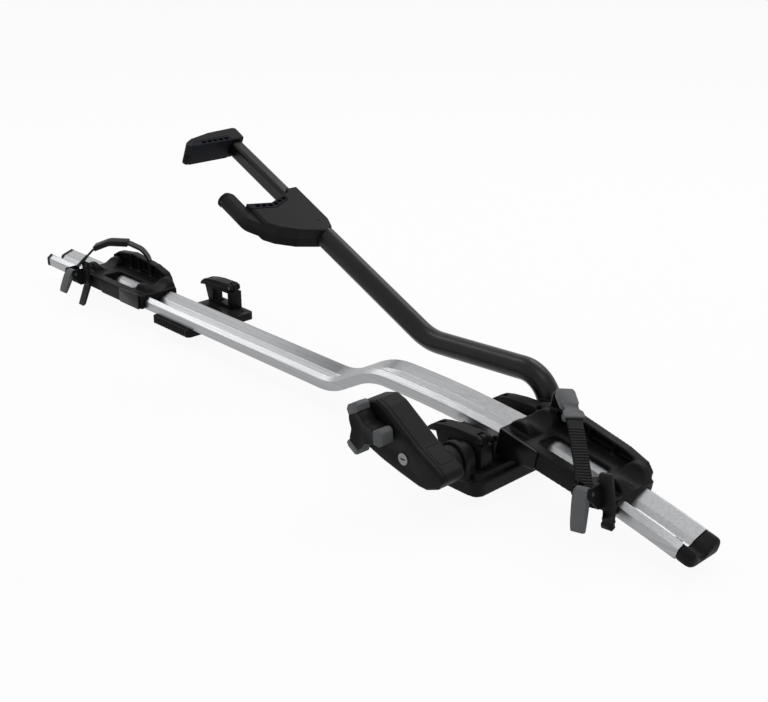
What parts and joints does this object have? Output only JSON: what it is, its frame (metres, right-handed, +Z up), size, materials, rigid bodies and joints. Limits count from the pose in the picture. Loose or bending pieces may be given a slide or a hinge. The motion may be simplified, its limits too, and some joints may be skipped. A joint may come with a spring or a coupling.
{
  "type": "roof mounted bike carrier",
  "caption": "Roof bar bike carrier: bent aluminium wheel rail, tilting frame arm with a knob-driven jaw, strapped wheel holders and lever clamps for the crossbars.",
  "frame": {"origin": "middle of the near foot, on its underside where it rests on the crossbar", "axes": "+X along the rail towards its near end, +Y across the rail towards the arm side, +Z up"},
  "size_m": [1.4419, 0.283, 0.3409],
  "materials": {
    "rail_aluminium": "brushed and clear anodised extrusion",
    "black_plastic": "finely textured moulding",
    "housing_plastic": "satin moulding",
    "grey_plastic": "satin moulding",
    "arm_paint": "satin powder coat",
    "pad_rubber": "matt moulded",
    "strap_rubber": "matt moulded ladder strap",
    "bolt_steel": "zinc plated",
    "lock_metal": "turned face",
    "label_plastic": "smooth bare face"
  },
  "bodies": {
    "base": {"rail": "rail_aluminium", "near_end_cap": "black_plastic", "far_end_caps": "grey_plastic", "foot_base": "black_plastic", "foot_pad": "pad_rubber", "pivot_bushes": "housing_plastic", "near_brackets": "black_plastic", "near_lever_pins": "bolt_steel"},
    "front_lever": {"front_clamp_lever": "housing_plastic", "front_clamp_nut": "bolt_steel"},
    "back_lever": {"back_clamp_lever": "housing_plastic", "back_clamp_nut": "bolt_steel"},
    "far_foot": {"far_plate": "black_plastic", "far_pad": "pad_rubber", "slide_bolt": "bolt_steel", "slide_nut": "bolt_steel", "far_bracket": "black_plastic", "far_lever_pin": "bolt_steel"},
    "far_lever": {"far_clamp_lever": "housing_plastic", "far_clamp_nut": "bolt_steel"},
    "arm": {"arm_axle": "bolt_steel", "arm_hub": "black_plastic", "arm_tube": "arm_paint", "head_upper_shell": "housing_plastic", "head_lower_shell": "black_plastic", "head_screws": "bolt_steel", "lower_jaw_pad": "pad_rubber", "housing_main": "housing_plastic", "housing_cover": "black_plastic", "housing_lid": "housing_plastic"},
    "jaw": {"inner_bar": "arm_paint", "upper_jaw_top_shell": "housing_plastic", "upper_jaw_bottom_shell": "black_plastic", "upper_jaw_pad": "pad_rubber", "jaw_screws": "bolt_steel"},
    "knob": {"spindle": "bolt_steel", "knob_core": "black_plastic", "knob_tips": "grey_plastic"},
    "lock": {"lock_cylinder": "lock_metal"},
    "near_holder": {"near_cradle": "black_plastic", "near_label_plate": "label_plastic", "near_strap": "strap_rubber", "near_buckle": "grey_plastic", "near_ratchet_frame": "black_plastic", "near_ratchet_pin": "bolt_steel", "near_strap_tail": "strap_rubber"},
    "near_ratchet": {"near_ratchet_lever": "grey_plastic"},
    "far_holder": {"far_cradle": "black_plastic", "far_label_plate": "label_plastic", "far_strap": "strap_rubber", "far_buckle": "housing_plastic", "far_ratchet_frame": "black_plastic", "far_ratchet_pin": "bolt_steel", "far_strap_tail": "strap_rubber"},
    "far_ratchet": {"far_ratchet_lever": "grey_plastic"}
  },
  "joints": [
    {"name": "arm_pivot", "type": "hinge", "parent": "base", "child": "arm", "pos_m": [0.008, 0, 0.044], "axis": [0, 1, 0], "range_deg": [-15, 62]},
    {"name": "knob_turn", "type": "hinge", "parent": "arm", "child": "knob", "pos_m": [-0.077, -0.15, 0.077], "axis": [0, 1, 0], "range_deg": [0, 1800]},
    {"name": "jaw_slide", "type": "slide", "parent": "arm", "child": "jaw", "axis": [0.9085, 0, -0.4179], "range_m": [0, 0.11]},
    {"name": "lock_turn", "type": "hinge", "parent": "arm", "child": "lock", "pos_m": [-0.025, -0.15, 0.051], "axis": [0, 1, 0], "range_deg": [0, 90]},
    {"name": "front_lever_pull", "type": "hinge", "parent": "base", "child": "front_lever", "pos_m": [0.023, -0.06, 0.0648], "axis": [0, 1, 0], "range_deg": [0, 90]},
    {"name": "back_lever_pull", "type": "hinge", "parent": "base", "child": "back_lever", "pos_m": [0.023, 0.06, 0.0648], "axis": [0, 1, 0], "range_deg": [0, 90]},
    {"name": "far_foot_slide", "type": "slide", "parent": "base", "child": "far_foot", "axis": [1, 0, 0], "range_m": [-0.015, 0.12]},
    {"name": "far_lever_pull", "type": "hinge", "parent": "far_foot", "child": "far_lever", "pos_m": [-0.692, 0.088, 0.0493], "axis": [0, 1, 0], "range_deg": [0, 90]},
    {"name": "near_holder_slide", "type": "hinge", "parent": "base", "child": "near_holder", "pos_m": [-0.16, 0, -1.69031], "axis": [0, 1, 0], "range_deg": [0, 2]},
    {"name": "near_ratchet_lift", "type": "hinge", "parent": "near_holder", "child": "near_ratchet", "pos_m": [0.18137, -0.06, 0.0536], "axis": [-0.9821, 0, -0.1884], "range_deg": [0, 65]},
    {"name": "far_holder_slide", "type": "slide", "parent": "base", "child": "far_holder", "axis": [1, 0, 0], "range_m": [-0.11, 0.01]},
    {"name": "far_ratchet_lift", "type": "hinge", "parent": "far_holder", "child": "far_ratchet", "pos_m": [-0.981, -0.06, 0.039], "axis": [-1, 0, 0], "range_deg": [0, 55]}
  ],
  "couplings": [
    {"joint": "jaw_slide", "follows": "knob_turn", "m_per_rad": 0.0035}
  ]
}
